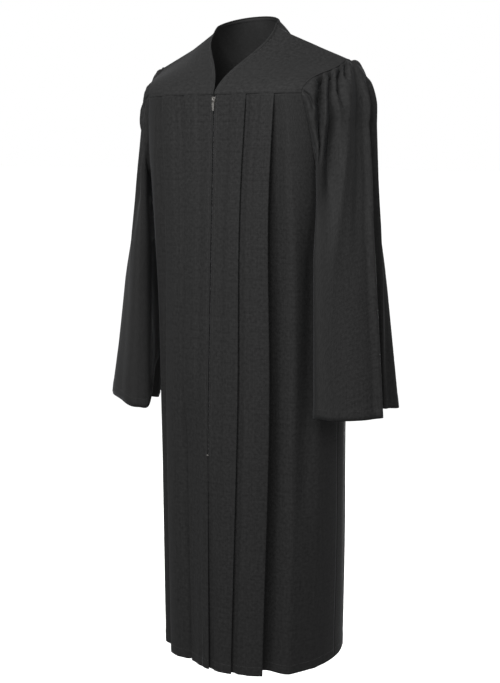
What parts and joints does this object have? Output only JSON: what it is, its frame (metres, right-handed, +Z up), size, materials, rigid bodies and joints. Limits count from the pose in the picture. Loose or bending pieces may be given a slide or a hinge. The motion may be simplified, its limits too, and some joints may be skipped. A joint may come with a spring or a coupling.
{
  "type": "choir dress",
  "caption": "Full-length choir or graduation robe with plain yokes, V neck, pleated fronts, front zip and gathered bell sleeves.",
  "frame": {"origin": "the point between the wearer's shoulders where the robe hangs, 1.25 m above its hem", "axes": "+Z up the robe towards the neck, +X to the wearer's left, -Y out of the front"},
  "size_m": [0.6389, 0.3536, 1.3149],
  "materials": {
    "yoke_cloth": "matte black woven polyester",
    "front_cloth": "matte black woven polyester",
    "back_cloth": "matte black woven polyester",
    "sleeve_cloth": "matte black woven polyester",
    "zip_tape": "black woven zip tape",
    "zip_chain": "black coil zip chain",
    "zip_metal": "plain bright nickel plate"
  },
  "bodies": {
    "robe": {"front_yoke_left": "yoke_cloth", "front_yoke_right": "yoke_cloth", "back_yoke": "yoke_cloth", "front_panel_left": "front_cloth", "front_panel_right": "front_cloth", "back_panel": "back_cloth", "sleeve_left": "sleeve_cloth", "sleeve_right": "sleeve_cloth", "zip_tape_left": "zip_tape", "zip_tape_right": "zip_tape", "zip_chain": "zip_chain", "zip_slider": "zip_metal", "zip_bottom_stop": "zip_metal"},
    "pull": {"zip_pull_tab": "zip_metal"}
  },
  "joints": [
    {"name": "pull_tab_hinge", "type": "hinge", "parent": "robe", "child": "pull", "pos_m": [0, -0.11094, -0.1045], "axis": [-1, 0, 0], "range_deg": [0, 165]}
  ]
}
